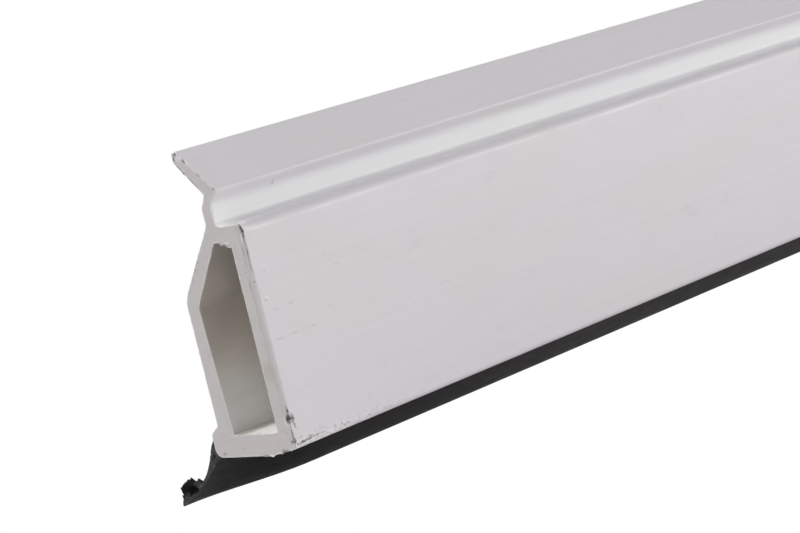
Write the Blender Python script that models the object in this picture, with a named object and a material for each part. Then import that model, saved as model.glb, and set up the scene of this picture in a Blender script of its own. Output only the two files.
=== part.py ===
"""Door sweep: a rigid white PVC hollow extrusion with a soft black lip along its back lower corner.

The origin is on the outer face of the lower back wall, halfway along the bar and halfway up that
wall. +X runs along the bar, +Y points back, towards the door, and +Z points up. The section is
drawn in (depth, height), which are Y and Z, and is carried along X.
"""

import math

import bmesh
import bpy

MM = 0.001

# The bar
BAR_LENGTH = 914 * MM
BOX_DEPTH = 14.8 * MM
FRONT_WALL = 3.0 * MM
FLOOR_WALL = 3.2 * MM

# Heights of the carrier's section, from the middle of the lower back wall
UNDERSIDE_Z = -12.2 * MM
SHOULDER_Z = -7.7 * MM
KINK_Z = 9.8 * MM
SHELF_Z = 19.05 * MM
CREASE_Z = 23.55 * MM

# The neck and the cove in front of it
SHELF_SLOPE = math.radians(3.5)
COVE_DEPTH = 5.1 * MM
COVE_HEIGHT = 2.6 * MM
CREASE_SETBACK = 3.05 * MM
NECK_BACK_Y = -7.85 * MM

# The flange, which leans back and up from the crease
FLANGE_TILT = math.radians(42.8)
FLANGE_REACH = 7.3 * MM
FLANGE_TIP_DEPTH = 2.25 * MM
NOTCH = (-8.95 * MM, 23.25 * MM)

# The back wall slopes forward above its kink
UPPER_WALL_SLOPE = math.radians(50.3)

# The foot stands out behind the back wall, and the underside rises towards the front
FOOT_DEPTH = 1.7 * MM
FOOT_SHOULDER_DROP = 1.05 * MM
FOOT_RADIUS = 1.3 * MM
TOE_LENGTH = 3.2 * MM
TOE_RISE = 0.8 * MM

# The open hollow inside
HOLLOW_CEILING = (16.1 * MM, 16.85 * MM)
HOLLOW_PEAK_Y = -8.7 * MM
HOLLOW_KINK = (-2.45 * MM, 8.65 * MM)
HOLLOW_BACK_Y = -3.0 * MM

# The lip
GAP = 0.3 * MM
HINGE = (2.8 * MM, -12.68 * MM)
BLADE_LENGTH = 10.5 * MM
BLADE_ROOT_HALF = 0.58 * MM
BLADE_TIP_HALF = 0.24 * MM
BLADE_TAPER = 1.9 * MM
HANG_AT_ROOT = math.radians(43)
HANG_AT_TIP = math.radians(54)
ROOT_TOP_Z = -10.0 * MM
ROOT_WIDTH = 1.56 * MM
ROOT_BACK_SHARE = 0.58

# One end of the lip is curled back, most at the cut and fading along the bar
CURL = math.radians(10)
CURL_START = 2.2 * MM
CURL_FULL = 4.8 * MM
CURL_FADE = 24 * MM

ARC_STEP = math.radians(15)
BLADE_STEPS = 12
ROUND_STEPS = 6


def clear_scene():
    for obj in list(bpy.data.objects):
        bpy.data.objects.remove(obj)


def make_collection(name):
    collection = bpy.data.collections.new(name)
    bpy.context.scene.collection.children.link(collection)
    return collection


def make_material(name, color, roughness, metallic=0.0):
    material = bpy.data.materials.new(name)
    material.use_nodes = True
    shader = material.node_tree.nodes["Principled BSDF"]
    shader.inputs["Base Color"].default_value = (*color, 1.0)
    shader.inputs["Roughness"].default_value = roughness
    shader.inputs["Metallic"].default_value = metallic
    return material


def fillet(before, corner, after, radius):
    """Points of an arc of this radius that touches both sides of the corner."""
    a = (before[0] - corner[0], before[1] - corner[1])
    b = (after[0] - corner[0], after[1] - corner[1])
    length_a = math.hypot(*a)
    length_b = math.hypot(*b)
    a = (a[0] / length_a, a[1] / length_a)
    b = (b[0] / length_b, b[1] / length_b)
    half = math.acos(a[0] * b[0] + a[1] * b[1]) / 2
    reach = radius / math.tan(half)
    along = radius / math.sin(half)
    middle = (a[0] + b[0], a[1] + b[1])
    scale = along / math.hypot(*middle)
    center = (corner[0] + middle[0] * scale, corner[1] + middle[1] * scale)
    first = (corner[0] + a[0] * reach, corner[1] + a[1] * reach)
    last = (corner[0] + b[0] * reach, corner[1] + b[1] * reach)
    start = math.atan2(first[1] - center[1], first[0] - center[0])
    turn = math.atan2(last[1] - center[1], last[0] - center[0]) - start
    turn = (turn + math.pi) % (2 * math.pi) - math.pi
    steps = max(2, math.ceil(abs(turn) / ARC_STEP))
    angles = [start + turn * i / steps for i in range(steps + 1)]
    return [(center[0] + radius * math.cos(t), center[1] + radius * math.sin(t)) for t in angles]


def rounded_outline(corners):
    """An outline from corners (depth, height, radius), each rounded by its own radius."""
    points = []
    for i, (depth, height, radius) in enumerate(corners):
        before = corners[i - 1]
        after = corners[(i + 1) % len(corners)]
        points += fillet(before, (depth, height), after, radius)
    return points


def extrude_outlines(name, outlines, material, collection):
    """A bar with these outlines as its section, the first outside and any others hollow."""
    curve = bpy.data.curves.new(name, "CURVE")
    curve.dimensions = "2D"
    curve.fill_mode = "BOTH"
    curve.extrude = BAR_LENGTH / 2
    for outline in outlines:
        spline = curve.splines.new("POLY")
        spline.points.add(len(outline) - 1)
        for point, (depth, height) in zip(spline.points, outline):
            point.co = (depth, height, 0, 1)
        spline.use_cyclic_u = True
    obj = bpy.data.objects.new(name, curve)
    # Turned so that the outline's plane is the world's YZ plane and its normal is +X.
    obj.rotation_euler = (math.pi / 2, 0, math.pi / 2)
    curve.materials.append(material)
    collection.objects.link(obj)
    return obj


def carrier_section():
    """The outside of the extrusion, from the front lower corner up the front and down the back."""
    front = -BOX_DEPTH
    crease_y = front + CREASE_SETBACK
    cove_y = front + COVE_DEPTH
    cove_z = SHELF_Z + COVE_DEPTH * math.tan(SHELF_SLOPE)
    tip_y = crease_y + FLANGE_REACH
    tip_z = CREASE_Z + FLANGE_REACH * math.tan(FLANGE_TILT)
    neck_z = KINK_Z - NECK_BACK_Y * math.tan(UPPER_WALL_SLOPE)
    return [
        (front, UNDERSIDE_Z + TOE_RISE, 1.3 * MM),
        (front, SHELF_Z, 0.65 * MM),
        (cove_y, cove_z, 1.4 * MM),
        (cove_y, cove_z + COVE_HEIGHT, 2.2 * MM),
        (crease_y, CREASE_Z, 0.35 * MM),
        (tip_y, tip_z, 0.6 * MM),
        (tip_y, tip_z - FLANGE_TIP_DEPTH, 0.9 * MM),
        (*NOTCH, 0.2 * MM),
        (NECK_BACK_Y, NOTCH[1] - 1.55 * MM, 1.0 * MM),
        (NECK_BACK_Y, neck_z, 1.5 * MM),
        (0, KINK_Z, 3.6 * MM),
        (0, SHOULDER_Z, 0.3 * MM),
        (FOOT_DEPTH, SHOULDER_Z - FOOT_SHOULDER_DROP, 1.0 * MM),
        (FOOT_DEPTH, UNDERSIDE_Z, FOOT_RADIUS),
        (front + TOE_LENGTH, UNDERSIDE_Z, 2.5 * MM),
    ]


def hollow_section():
    """The hollow, which is open at both ends of the bar."""
    inner_front = -BOX_DEPTH + FRONT_WALL
    inner_floor = UNDERSIDE_Z + FLOOR_WALL
    return [
        (inner_front, inner_floor, 0.25 * MM),
        (inner_front, HOLLOW_CEILING[0], 0.4 * MM),
        (HOLLOW_PEAK_Y, HOLLOW_CEILING[1], 0.25 * MM),
        (*HOLLOW_KINK, 2.0 * MM),
        (HOLLOW_BACK_Y, inner_floor, 0.3 * MM),
    ]


def hang_angle(distance):
    """The blade's angle from straight down, which grows evenly from its root to its tip."""
    return HANG_AT_ROOT + (HANG_AT_TIP - HANG_AT_ROOT) * distance / BLADE_LENGTH


def half_thickness(distance):
    """Half the blade's thickness, thick at the hinge and thin beyond the taper."""
    extra = BLADE_ROOT_HALF - BLADE_TIP_HALF
    return BLADE_TIP_HALF + extra * math.exp(-((distance / BLADE_TAPER) ** 2))


def smooth_step(value):
    value = min(1.0, max(0.0, value))
    return value * value * (3 - 2 * value)


def blade_ring(end_distance):
    """The blade's section at this distance from its curled end, as points going once round it."""
    curl = CURL * (1 - smooth_step(end_distance / CURL_FADE))
    step = BLADE_LENGTH / BLADE_STEPS
    depth, height = HINGE
    back, front = [], []
    for i in range(BLADE_STEPS + 1):
        distance = i * step
        share = smooth_step((distance - CURL_START) / (CURL_FULL - CURL_START))
        angle = hang_angle(distance) + curl * share
        half = half_thickness(distance)
        across = (math.cos(angle) * half, math.sin(angle) * half)
        back.append((depth + across[0], height + across[1]))
        front.append((depth - across[0], height - across[1]))
        depth += math.sin(angle) * step
        height -= math.cos(angle) * step
    cap = []
    for i in range(1, ROUND_STEPS):
        angle = HANG_AT_ROOT + math.pi - math.pi * i / ROUND_STEPS
        cap.append(
            (
                HINGE[0] + BLADE_ROOT_HALF * math.cos(angle),
                HINGE[1] + BLADE_ROOT_HALF * math.sin(angle),
            )
        )
    return back + front[::-1] + cap


def root_section():
    """The wedge that is bonded round the foot, cut square above the hinge."""
    reach = BLADE_ROOT_HALF + GAP
    along = (math.sin(HANG_AT_ROOT), -math.cos(HANG_AT_ROOT))
    across = (math.cos(HANG_AT_ROOT), math.sin(HANG_AT_ROOT))
    cut = (HINGE[0] - along[0] * reach, HINGE[1] - along[1] * reach)
    back_half = ROOT_WIDTH * ROOT_BACK_SHARE
    front_half = ROOT_WIDTH - back_half
    center = (FOOT_DEPTH - FOOT_RADIUS, UNDERSIDE_Z + FOOT_RADIUS)
    radius = FOOT_RADIUS + GAP
    outline = [
        (center[0] + radius, ROOT_TOP_Z),
        (cut[0] + across[0] * back_half, cut[1] + across[1] * back_half),
        (cut[0] - across[0] * front_half, cut[1] - across[1] * front_half),
    ]
    for degrees in range(-60, 1, 10):
        angle = math.radians(degrees)
        outline.append((center[0] + radius * math.cos(angle), center[1] + radius * math.sin(angle)))
    return outline


def loft_blade(name, material, collection):
    """The blade, lofted through its sections, close together where the end is curled."""
    fading = [0.0, 0.16, 0.32, 0.48, 0.64, 0.8, 1.0]
    stations = [CURL_FADE * share for share in fading] + [BAR_LENGTH]
    shape = bmesh.new()
    rings = []
    for distance in stations:
        along = distance - BAR_LENGTH / 2
        ring = blade_ring(distance)
        points = [(along, depth - HINGE[0], height - HINGE[1]) for depth, height in ring]
        rings.append([shape.verts.new(point) for point in points])
    for near, far in zip(rings, rings[1:]):
        for i in range(len(near)):
            j = (i + 1) % len(near)
            shape.faces.new((near[i], near[j], far[j], far[i]))
    shape.faces.new(rings[0])
    shape.faces.new(rings[-1])
    bmesh.ops.recalc_face_normals(shape, faces=shape.faces)
    mesh = bpy.data.meshes.new(name)
    shape.to_mesh(mesh)
    shape.free()
    mesh.materials.append(material)
    obj = bpy.data.objects.new(name, mesh)
    obj.location = (0, *HINGE)
    collection.objects.link(obj)
    return obj


def main():
    clear_scene()
    collection = make_collection("door_sweep")
    white_pvc = make_material("white_pvc", (0.78, 0.77, 0.77), 0.42)
    bonded_lip = make_material("black_lip_root", (0.018, 0.016, 0.017), 0.6)
    free_lip = make_material("black_lip_blade", (0.015, 0.014, 0.015), 0.5)
    carrier = [rounded_outline(carrier_section()), rounded_outline(hollow_section())]
    extrude_outlines("carrier", carrier, white_pvc, collection)
    extrude_outlines("lip_root", [root_section()], bonded_lip, collection)
    loft_blade("lip_blade", free_lip, collection)


main()
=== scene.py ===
"""Door sweep, the looks: a sawn length of hollow white PVC extrusion with a soft black sealing lip.

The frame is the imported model, in metres: +X runs along the bar, +Y points back, towards the door, and
+Z points up. The sawn end that shows its wear is at -X. Every new piece is a surface worked out with
numpy from the same section as the frame's, and keeps to the frame's box but for the lip's torn
lump, which stands 0.2 mm past it at the back.
"""

import math

import bpy
import numpy as np
from bpy.props import FloatProperty, FloatVectorProperty, PointerProperty
from mathutils import Matrix, Vector
from mathutils.geometry import delaunay_2d_cdt


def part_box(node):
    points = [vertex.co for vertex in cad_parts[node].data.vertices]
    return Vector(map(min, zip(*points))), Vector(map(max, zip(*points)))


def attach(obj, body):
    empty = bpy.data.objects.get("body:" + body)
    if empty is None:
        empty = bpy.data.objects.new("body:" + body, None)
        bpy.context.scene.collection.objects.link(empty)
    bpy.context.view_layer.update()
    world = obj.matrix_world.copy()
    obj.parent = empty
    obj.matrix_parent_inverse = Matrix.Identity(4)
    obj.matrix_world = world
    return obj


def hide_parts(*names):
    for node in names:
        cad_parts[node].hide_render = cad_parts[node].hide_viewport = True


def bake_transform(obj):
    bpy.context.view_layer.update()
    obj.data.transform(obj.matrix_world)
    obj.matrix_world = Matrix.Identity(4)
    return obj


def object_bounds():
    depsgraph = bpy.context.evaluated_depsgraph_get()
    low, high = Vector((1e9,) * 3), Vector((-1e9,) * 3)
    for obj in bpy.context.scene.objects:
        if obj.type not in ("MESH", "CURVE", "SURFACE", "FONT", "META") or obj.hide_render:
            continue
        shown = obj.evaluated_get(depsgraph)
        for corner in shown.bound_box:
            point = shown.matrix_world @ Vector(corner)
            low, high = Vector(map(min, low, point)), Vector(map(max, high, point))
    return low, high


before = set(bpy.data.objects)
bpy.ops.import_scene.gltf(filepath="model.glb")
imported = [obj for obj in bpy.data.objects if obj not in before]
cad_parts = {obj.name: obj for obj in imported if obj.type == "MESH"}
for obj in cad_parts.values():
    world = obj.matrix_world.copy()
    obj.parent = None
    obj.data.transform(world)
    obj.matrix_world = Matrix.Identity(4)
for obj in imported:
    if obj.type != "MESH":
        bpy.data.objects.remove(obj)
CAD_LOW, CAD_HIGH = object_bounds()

bl_info = {
    "name": "Door Sweep Looks",
    "version": (1, 0, 0),
    "blender": (4, 5, 0),
    "location": "View3D > Sidebar > Door Sweep",
    "description": "Builds the visible surfaces of a hollow PVC door sweep round its packed frame",
    "category": "Object",
}

MM = 0.001
CARRIER_LOW, CARRIER_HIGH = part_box("carrier")
BAR_START, BAR_END = CARRIER_LOW.x, CARRIER_HIGH.x

# The lip's flex line, as (y, z)
HINGE = (2.8 * MM, -12.68 * MM)

# The foot that the lip is bonded round, with its centre as (y, z)
FOOT_RADIUS = 1.3 * MM
FOOT_CENTRE = (0.4 * MM, -10.9 * MM)


# ---------------- settings


def millimetres(name, description, value):
    return FloatProperty(
        name=name, description=description, default=value * MM, unit="LENGTH", precision=5
    )


def degrees(name, description, value):
    return FloatProperty(
        name=name, description=description, default=math.radians(value), subtype="ANGLE"
    )


def colour(name, description, value):
    return FloatVectorProperty(
        name=name, description=description, default=value, subtype="COLOR", min=0.0, max=1.0
    )


def share(name, description, value, most=1.0):
    return FloatProperty(
        name=name, description=description, default=value, min=0.0, max=most, subtype="FACTOR"
    )


def watts(name, description, value):
    return FloatProperty(name=name, description=description, default=value, min=0, unit="POWER")


class SweepCarrier(bpy.types.PropertyGroup):
    """The white extrusion's section, measured from the middle of its lower back wall."""

    box_depth: millimetres("Box Depth", "Back wall to front face", 14.8)
    front_wall: millimetres("Front Wall", "Thickness of the front wall", 3.0)
    floor_wall: millimetres("Floor Wall", "Thickness of the floor", 3.2)
    underside: millimetres("Underside", "Height of the flat underside", -12.2)
    shelf: millimetres("Shelf", "Height of the front edge of the shelf", 19.05)
    kink: millimetres("Kink", "Height at which the back wall turns forward", 9.8)
    crease: millimetres("Crease", "Height of the crease below the flange", 23.55)
    flange_tilt: degrees("Flange Tilt", "Slope of the flange above level", 42.8)
    flange_reach: millimetres("Flange Reach", "Crease to flange tip, seen from above", 7.3)
    cut_end: millimetres("Cut End", "Length of the sawn end that is meshed finely", 42.0)
    waviness: millimetres("Waviness", "How far the extruded walls wander", 0.022)


class SweepLip(bpy.types.PropertyGroup):
    """The black lip's blade, from its hinge to its tip."""

    length: millimetres("Blade Length", "Hinge to tip along the blade", 10.5)
    root_half: millimetres("Root Half", "Half the blade's thickness at the hinge", 0.58)
    tip_half: millimetres("Tip Half", "Half the blade's thickness towards its tip", 0.24)
    taper: millimetres("Taper", "Distance over which the blade thins", 1.9)
    hang_at_root: degrees("Hang at Root", "Blade's angle from straight down at the hinge", 43.0)
    hang_at_tip: degrees("Hang at Tip", "Blade's angle from straight down at the tip", 54.0)
    curl: degrees("Curl", "How much further the cut end is curled back", 10.0)
    curl_fade: millimetres("Curl Fade", "Distance along the bar in which the curl fades", 24.0)
    tear: millimetres("Tear", "Height of the torn lump at the cut end", 1.9)


class SweepFinish(bpy.types.PropertyGroup):
    """Colours of the plastics and of what has marked them."""

    pvc: colour("PVC", "Extruded faces of the white plastic", (0.867, 0.837, 0.876))
    sawn: colour("Sawn PVC", "Sawn faces of the white plastic", (0.607, 0.582, 0.582))
    lip: colour("Lip", "Soft black plastic", (0.015, 0.0125, 0.014))
    cut_lip: colour("Cut Lip", "Sawn edge of the black plastic", (0.08, 0.077, 0.078))
    hollow: colour("Hollow", "Dusty inside of the white plastic", (0.76, 0.72, 0.68))
    grime: colour("Grime", "Dirt in nicks and scratches", (0.10, 0.095, 0.08))
    stain: colour("Stain", "Yellow-brown stain on the sawn face", (0.50, 0.45, 0.38))
    pvc_gloss: share("PVC Roughness", "Roughness of the extruded faces", 0.42)
    lip_gloss: share("Lip Roughness", "Roughness of the black lip", 0.52)


class SweepStage(bpy.types.PropertyGroup):
    """The camera, the lights and the floor."""

    camera_place: FloatVectorProperty(
        name="Camera Place", description="Where the camera stands", subtype="TRANSLATION",
        default=(-0.65654, -0.24878, 0.04395), precision=5
    )
    heading: degrees("Heading", "Camera's turn from +Y towards +X", 43.9315)
    pitch: degrees("Pitch", "Camera's tilt above level", -6.5571)
    roll: degrees("Roll", "Camera's turn about its own axis", -13.6299)
    lens: FloatProperty(
        name="Lens", description="Focal length", default=107.9, unit="CAMERA", min=10
    )
    sky: share("Sky", "Strength of the white surroundings", 0.07, 4.0)
    front_power: watts("Front Light", "Power of the softbox in front", 22.0)
    back_power: watts("Back Light", "Power of the softbox behind the sawn end", 13.5)
    top_power: watts("Top Light", "Power of the softbox above the sawn end", 12.0)


# ---------------- Blender's data


def placed(name, data):
    """A new object that holds this data, linked into the scene."""
    obj = bpy.data.objects.new(name, data)
    bpy.context.scene.collection.objects.link(obj)
    return obj


def put(tree, socket, value):
    """Links the socket to the value if that is another socket, and sets it otherwise."""
    if isinstance(value, bpy.types.NodeSocket):
        tree.links.new(value, socket)
    else:
        socket.default_value = value


def add_node(tree, kind, inputs, **settings):
    """Adds a shader node with these settings and inputs, and returns its outputs."""
    node = tree.nodes.new("ShaderNode" + kind)
    for name, value in settings.items():
        setattr(node, name, value)
    for key, value in inputs.items():
        put(tree, node.inputs[key], value)
    return node.outputs


# ---------------- arithmetic on whole arrays


def smooth_step(value):
    """0 below 0, 1 above 1, and three squares less two cubes in between."""
    value = np.clip(value, 0, 1)
    return value * value * (3 - 2 * value)


def bell(value):
    """1 at 0, falling away on both sides as e to the minus square of the value."""
    return np.exp(-(value**2))


def soft_ramp(value, softness):
    """Nearly 0 for negative values and nearly the value for positive ones, rounded at the turn."""
    return softness * np.logaddexp(0, value / softness)


# Large odd numbers that scatter a lattice corner's whole numbers over 31 bits
HASH_AXES = (73856093, 19349663, 83492791)
HASH_SEED = 1013904223
HASH_ROUNDS = ((13, 1274126177), (15, 668265263))
HASH_MASK = 0x7FFFFFFF


def lattice_noise(points, pitch, seed):
    """Values between -1 and 1: a random value at each corner of a lattice of this pitch, blended
    across each cell by the smooth step of the place inside it."""
    points = np.asarray(points) / pitch
    cell = np.floor(points).astype(np.int64)
    inside = smooth_step(points - cell)
    total = np.zeros(len(points))
    for corner in np.ndindex(*(2,) * points.shape[1]):
        corner = np.array(corner)
        key = ((cell + corner) * HASH_AXES[: len(corner)]).sum(1)
        key = (key + seed * HASH_SEED) & HASH_MASK
        for shift, factor in HASH_ROUNDS:
            key = ((key ^ (key >> shift)) * factor) & HASH_MASK
        value = (key >> 8) / float(HASH_MASK >> 8) * 2 - 1
        total += value * np.where(corner, inside, 1 - inside).prod(1)
    return total


def rough_noise(points, pitch, seed):
    """Two layers of lattice noise, the second half as strong and half as wide."""
    fine = lattice_noise(points, pitch / 2, seed + 1)
    return (lattice_noise(points, pitch, seed) + fine / 2) / 1.5


def graded(start, stop, first, growth, most):
    """Distances from start to stop whose steps grow from the first by this ratio, up to the most."""
    count = 2 + int(abs(stop - start) / first)
    grown = math.ceil(math.log(most / first, growth)) + 1
    steps = np.minimum(first * growth ** np.minimum(np.arange(count), grown), most)
    reached = np.concatenate([[0], np.cumsum(steps)])
    reached = reached[: np.searchsorted(reached, abs(stop - start)) + 1]
    return start + (stop - start) * reached / reached[-1]


# ---------------- sections


def arc_at(before, corner, after, radius, step):
    """The arc of this radius that touches both sides of a corner, with a point about every step."""
    corner = np.array(corner)
    a, b = before - corner, after - corner
    a, b = a / np.hypot(*a), b / np.hypot(*b)
    half = math.acos(a @ b) / 2
    middle = (a + b) / np.hypot(*(a + b))
    centre = corner + middle * radius / math.sin(half)
    first = corner + a * radius / math.tan(half) - centre
    last = corner + b * radius / math.tan(half) - centre
    start = math.atan2(first[1], first[0])
    turn = (math.atan2(last[1], last[0]) - start + math.pi) % (2 * math.pi) - math.pi
    angles = start + turn * np.linspace(0, 1, max(3, math.ceil(abs(turn) / step)) + 1)
    return centre + radius * np.stack([np.cos(angles), np.sin(angles)], 1)


def rounded_outline(corners, step, spacing):
    """A closed outline: an arc at each corner (y, z, radius), and straight runs between the arcs
    that are divided evenly, at about the spacing."""
    places = np.array([corner[:2] for corner in corners])
    arcs = [
        arc_at(places[i - 1], places[i], places[(i + 1) % len(places)], corners[i][2], step)
        for i in range(len(corners))
    ]
    runs = []
    for arc, following in zip(arcs, arcs[1:] + arcs[:1]):
        gap = following[0] - arc[-1]
        parts = max(1, round(float(np.hypot(*gap)) / spacing))
        runs += [arc, arc[-1] + gap * np.linspace(0, 1, parts + 1)[1:-1, None]]
    return np.vstack(runs)


def outward(outline):
    """Unit normals of a clockwise outline: the way from the point before to the point after,
    turned a quarter to the left."""
    along = np.roll(outline, -1, 0) - np.roll(outline, 1, 0)
    normal = np.stack([-along[:, 1], along[:, 0]], 1)
    return normal / np.hypot(*normal.T)[:, None]


def carrier_outline(sizes, spacing):
    """The outside of the extrusion: its toe, the shelf's front corner, the cove, the crease, the
    flange's tip and back, the neck, the kink, and the foot and the end of the flat underside."""
    front = -sizes.box_depth
    crease_y = front + 3.05 * MM
    cove_y = front + 5.05 * MM
    cove_z = sizes.shelf - 0.19 * MM
    tip_y = crease_y + sizes.flange_reach
    tip_z = sizes.crease + sizes.flange_reach * math.tan(sizes.flange_tilt)
    neck_y = -7.85 * MM
    slope = math.radians(50.3)
    neck_z = sizes.kink - neck_y * math.tan(slope)
    corners = [
        (front, sizes.underside + 0.82 * MM, 0.8 * MM),
        (front, sizes.shelf + 0.07 * MM, 1.45 * MM),
        (cove_y, cove_z, 0.9 * MM),
        (cove_y, cove_z + 3.17 * MM, 1.8 * MM),
        (crease_y, sizes.crease, 0.35 * MM),
        (tip_y, tip_z, 0.6 * MM),
        (tip_y, tip_z - 2.25 * MM, 0.9 * MM),
        (-8.95 * MM, 23.25 * MM, 0.2 * MM),
        (neck_y, 21.70 * MM, 1.0 * MM),
        (neck_y, neck_z, 1.5 * MM),
        (0, sizes.kink, 3.6 * MM),
        (0, -7.7 * MM, 0.3 * MM),
        (1.7 * MM, -8.75 * MM, 1.0 * MM),
        (1.7 * MM, sizes.underside, FOOT_RADIUS),
        (front + 5.2 * MM, sizes.underside, 2.5 * MM),
    ]
    return rounded_outline(corners, math.radians(8), spacing)


def hollow_outline(sizes, spacing):
    """The hollow inside the extrusion, from its front lower corner up and round."""
    front = -sizes.box_depth + sizes.front_wall
    floor = sizes.underside + sizes.floor_wall
    corners = [
        (front, floor, 0.25 * MM),
        (front, 16.1 * MM, 0.4 * MM),
        (-8.7 * MM, 16.85 * MM, 0.25 * MM),
        (-2.45 * MM, 8.65 * MM, 2.0 * MM),
        (-3.0 * MM, floor, 0.12 * MM),
    ]
    return rounded_outline(corners, math.radians(12), spacing)


# ---------------- solids from sections

SHARP_ANGLE = math.radians(38)


def crossings(points, loop):
    """For each point, whether a ray from it along +Y crosses the closed loop an odd number of times."""
    start, end = loop, np.roll(loop, -1, 0)
    level = points[:, 1, None]
    spans = (start[:, 1] > level) != (end[:, 1] > level)
    rise = np.where(end[:, 1] == start[:, 1], 1, end[:, 1] - start[:, 1])
    meets = start[:, 0] + (level - start[:, 1]) / rise * (end[:, 0] - start[:, 0])
    return (spans & (meets > points[:, 0, None])).sum(1) % 2 == 1


def clearance(points, loop):
    """Each point's distance to the nearest side of the closed loop."""
    start, way = loop, np.roll(loop, -1, 0) - loop
    offset = points[:, None] - start
    part = np.clip((offset * way).sum(2) / np.maximum((way**2).sum(1), 1e-18), 0, 1)
    return np.sqrt(((offset - part[..., None] * way) ** 2).sum(2).min(1))


def in_section(points, loops):
    """True for points inside the first loop and outside the others."""
    inside = crossings(points, loops[0])
    for hole in loops[1:]:
        inside &= ~crossings(points, hole)
    return inside


def cap_mesh(loops, pitch, seed):
    """Fills a section: its loops' own points, and, if a pitch is given, a slightly shaken lattice
    of points of that pitch inside it, joined by Delaunay triangles that keep the loops' sides.
    Returns the added points and the triangles, counter-clockwise seen from +X."""
    edge = np.vstack(loops)
    added = np.zeros((0, 2))
    if pitch:
        low, high = edge.min(0), edge.max(0)
        grid = np.stack(np.meshgrid(*map(np.arange, low, high, (pitch, pitch))), -1).reshape(-1, 2)
        grid = grid + np.random.default_rng(seed).uniform(-0.3, 0.3, grid.shape) * pitch
        grid = grid[in_section(grid, loops)]
        far = np.min([clearance(grid, loop) for loop in loops], 0) > pitch * 0.45
        added = grid[far]
    sides, first = [], 0
    for loop in loops:
        index = first + np.arange(len(loop))
        sides += np.stack([index, np.roll(index, -1)], 1).tolist()
        first += len(loop)
    every = np.vstack([edge, added])
    found = delaunay_2d_cdt([Vector(p) for p in every / MM], sides, [], 0, 1e-7)
    if len(found[0]) != len(every):
        raise RuntimeError("the section's outline crosses itself")
    origin = np.array([sources[0] for sources in found[3]])
    triangles = origin[np.array(found[2])]
    triangles = triangles[in_section(every[triangles].mean(1), loops)]
    a, b, c = (every[triangles[:, i]] for i in range(3))
    turned = (b - a)[:, 0] * (c - a)[:, 1] - (b - a)[:, 1] * (c - a)[:, 0] < 0
    triangles[turned] = triangles[turned][:, ::-1]
    return added, triangles


def grouped_mesh(name, points, groups):
    """A mesh from its points and from groups of faces, each with its material's index. Edges that
    turn more sharply than a set angle are shaded as sharp."""
    mesh = bpy.data.meshes.new(name)
    faces = [face for group, _ in groups for face in group.tolist()]
    mesh.from_pydata(points.tolist(), [], faces)
    index = np.repeat([material for _, material in groups], [len(group) for group, _ in groups])
    mesh.polygons.foreach_set("material_index", index.astype(np.int32))
    mesh.shade_smooth()
    mesh.set_sharp_from_angle(angle=SHARP_ANGLE)
    mesh.update()
    return mesh


def swept_solid(name, sections, counts, stations, cap_pitches, shape, seed):
    """A closed solid swept along +X. sections holds the (y, z) points at each station: first the
    clockwise outline, then any hollow, counts long. Side faces join neighbouring stations, and a
    cap fills each end. shape moves every point, given the places and the sides' outward normals.
    The outline's faces take the first material, the caps' the second and a hollow's the third. The
    attribute rim holds each cap point's distance from the cap's edge, in millimetres."""
    station_count, width = sections.shape[:2]
    splits = np.cumsum(counts)[:-1]
    facing = np.repeat([1.0] + [-1.0] * len(splits), counts)[:, None]
    normals = np.vstack([
        np.vstack([outward(loop) for loop in np.split(ring, splits)]) * facing for ring in sections
    ])
    points = np.dstack([np.repeat(stations[:, None], width, 1), sections]).reshape(-1, 3)

    groups, first = [], 0
    rows = np.arange(station_count - 1)[:, None] * width
    for number, count in enumerate(counts):
        here = first + np.arange(count)
        near, beside = rows + here, rows + first + (here - first + 1) % count
        faces = np.stack([near, near + width, beside + width, beside], -1).reshape(-1, 4)
        groups.append((faces[:, ::-1] if number else faces, 2 if number else 0))
        first += count

    # End 0 is the first station and end 1 the last, so each is at -end
    rim = [np.zeros(len(points))]
    for end, pitch in enumerate(cap_pitches):
        loops = np.split(sections[-end], splits)
        added, triangles = cap_mesh(loops, pitch, seed + end)
        ring_start = end * (station_count - 1) * width
        index = np.concatenate([ring_start + np.arange(width), len(points) + np.arange(len(added))])
        groups.append((index[triangles if end else triangles[:, ::-1]], 1))
        places = np.column_stack([np.full(len(added), stations[-end]), added])
        points = np.vstack([points, places])
        normals = np.vstack([normals, np.zeros((len(added), 2))])
        rim.append(np.min([clearance(added, loop) for loop in loops], 0) / MM)

    mesh = grouped_mesh(name, shape(points, normals), groups)
    mesh.attributes.new("rim", "FLOAT", "POINT").data.foreach_set("value", np.concatenate(rim))
    return placed(name, mesh)


# ---------------- wear

# How far from a cut its rubbed rim, its burrs, its smear, the saw's scores and its chips reach
RUBBED_REACH = 0.11 * MM
BURR_REACH = 0.14 * MM
SMEAR_LENGTH = 1.1 * MM
SCORED_REACH = 0.4 * MM
CHIPPED_LENGTH = 3 * MM

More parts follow.
